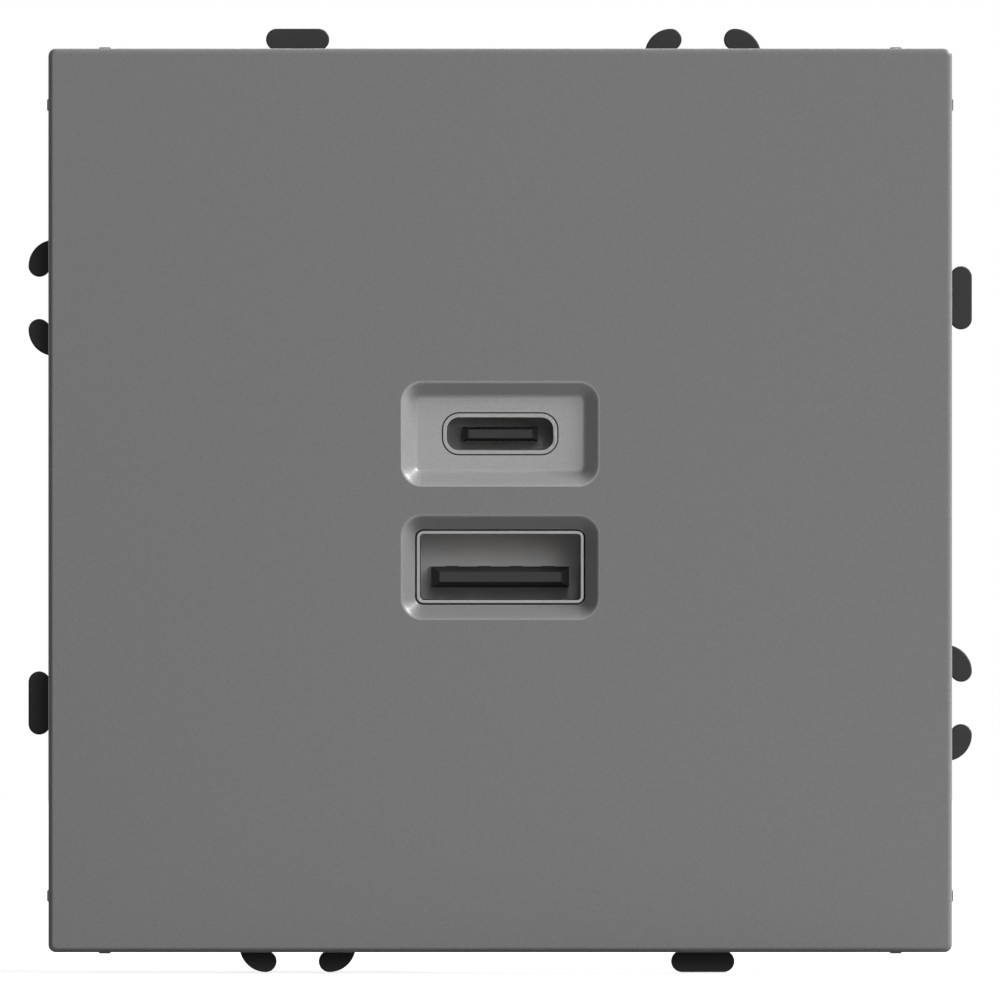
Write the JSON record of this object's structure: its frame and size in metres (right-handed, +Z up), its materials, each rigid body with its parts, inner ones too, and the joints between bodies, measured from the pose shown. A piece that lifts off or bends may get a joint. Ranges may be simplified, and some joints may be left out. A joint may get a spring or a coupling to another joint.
{
  "type": "usb wall socket",
  "caption": "Flush wall socket with USB-A and USB-C charging ports, a square snap-off face plate, a link-edged support frame, spreading claws and mains terminals.",
  "frame": {"origin": "centre of the support frame's rear face, which lies on the wall", "axes": "-Y out of the wall towards the user, +X to the user's right, +Z up"},
  "size_m": [0.074, 0.0389, 0.074],
  "materials": {
    "front_plate": "satin graphite lacquer on moulded plastic",
    "support_frame": "black glass-filled plastic",
    "casing": "fine-textured dark plastic",
    "black_plastic": "moulded",
    "zinc_screws": "zinc plated",
    "board": "green solder mask",
    "tinned_pins": "tinned",
    "port_shell": "nickel plated sheet",
    "port_tongue": "dark moulded plastic",
    "gold_contacts": "gold plated",
    "ferrite": "ground ferrite",
    "coil_tape": "yellow polyester tape",
    "copper_wire": "enamelled copper",
    "can_sleeve": "dark sleeve",
    "can_bare": "drawn can",
    "fuse_body": "moulded",
    "film_box": "potted box",
    "chip": "moulded resin",
    "varistor_coat": "dipped resin",
    "disc_coat": "dipped resin",
    "terminal_housing": "heat-resistant plastic",
    "tinned_copper": "tinned",
    "terminal_steel": "zinc plated",
    "claw_steel": "zinc plated sheet",
    "claw_screw": "zinc plated"
  },
  "bodies": {
    "module": {"board_screws": "zinc_screws", "bridge_rectifier": "chip", "bulk_capacitor_lower": "can_sleeve", "bulk_capacitor_upper": "can_sleeve", "choke_core": "ferrite", "choke_winding": "copper_wire", "film_capacitor": "film_box", "fuse": "fuse_body", "header_strip": "black_plastic", "link_pins": "tinned_pins", "main_board": "board", "module_cap": "casing", "module_screws": "zinc_screws", "optocoupler": "chip", "output_capacitor_lower": "can_bare", "output_capacitor_upper": "can_bare", "port_board": "board", "port_control_chip": "chip", "rear_casing": "casing", "safety_capacitor": "disc_coat", "support_frame": "support_frame", "switching_chip": "chip", "terminal_bars": "tinned_copper", "terminal_block": "terminal_housing", "transformer_bobbin": "black_plastic", "transformer_core": "ferrite", "transformer_winding": "coil_tape", "usb_a_contacts": "gold_contacts", "usb_a_shell": "port_shell", "usb_a_tongue": "port_tongue", "usb_c_contacts": "gold_contacts", "usb_c_shell": "port_shell", "usb_c_tongue": "port_tongue", "varistor": "varistor_coat"},
    "front_plate": {"front_plate": "front_plate"},
    "claw_screw_right": {"claw_screw_right": "claw_screw"},
    "claw_nut_right": {"claw_nut_right": "claw_steel"},
    "claw_right": {"claw_right": "claw_steel"},
    "terminal_screw_right": {"terminal_screw_right": "zinc_screws"},
    "terminal_cage_right": {"terminal_cage_right": "terminal_steel"},
    "claw_screw_left": {"claw_screw_left": "claw_screw"},
    "claw_nut_left": {"claw_nut_left": "claw_steel"},
    "claw_left": {"claw_left": "claw_steel"},
    "terminal_screw_left": {"terminal_screw_left": "zinc_screws"},
    "terminal_cage_left": {"terminal_cage_left": "terminal_steel"}
  },
  "joints": [
    {"name": "plate_pull_off", "type": "slide", "parent": "module", "child": "front_plate", "axis": [0, -1, 0], "range_m": [0, 0.012]},
    {"name": "claw_screw_right_turn", "type": "hinge", "parent": "module", "child": "claw_screw_right", "pos_m": [0.0249, 0, 0], "axis": [0, 1, 0], "range_deg": [0, 5760.5]},
    {"name": "claw_nut_right_slide", "type": "slide", "parent": "module", "child": "claw_nut_right", "axis": [0, -1, 0], "range_m": [0, 0.008]},
    {"name": "claw_right_spread", "type": "slide", "parent": "module", "child": "claw_right", "axis": [0.4985, -0.8669, 0], "range_m": [0, 0.00923]},
    {"name": "terminal_screw_right_turn", "type": "hinge", "parent": "module", "child": "terminal_screw_right", "pos_m": [0.0042, 0.025, -0.0129], "axis": [0, -1, 0], "range_deg": [0, 1152.5]},
    {"name": "terminal_cage_right_rise", "type": "slide", "parent": "module", "child": "terminal_cage_right", "axis": [0, 1, 0], "range_m": [0, 0.0016]},
    {"name": "claw_screw_left_turn", "type": "hinge", "parent": "module", "child": "claw_screw_left", "pos_m": [-0.0249, 0, 0], "axis": [0, 1, 0], "range_deg": [0, 5760.5]},
    {"name": "claw_nut_left_slide", "type": "slide", "parent": "module", "child": "claw_nut_left", "axis": [0, -1, 0], "range_m": [0, 0.008]},
    {"name": "claw_left_spread", "type": "slide", "parent": "module", "child": "claw_left", "axis": [-0.4985, -0.8669, 0], "range_m": [0, 0.00923]},
    {"name": "terminal_screw_left_turn", "type": "hinge", "parent": "module", "child": "terminal_screw_left", "pos_m": [-0.0042, 0.025, -0.0129], "axis": [0, -1, 0], "range_deg": [0, 1152.5]},
    {"name": "terminal_cage_left_rise", "type": "slide", "parent": "module", "child": "terminal_cage_left", "axis": [0, 1, 0], "range_m": [0, 0.0016]}
  ],
  "couplings": [
    {"joint": "claw_screw_right_turn", "follows": "claw_nut_right_slide", "rad_per_m": 12566},
    {"joint": "claw_right_spread", "follows": "claw_nut_right_slide", "ratio": 1.1535},
    {"joint": "terminal_screw_right_turn", "follows": "terminal_cage_right_rise", "rad_per_m": 12566},
    {"joint": "claw_screw_left_turn", "follows": "claw_nut_left_slide", "rad_per_m": 12566},
    {"joint": "claw_left_spread", "follows": "claw_nut_left_slide", "ratio": 1.1535},
    {"joint": "terminal_screw_left_turn", "follows": "terminal_cage_left_rise", "rad_per_m": 12566}
  ]
}
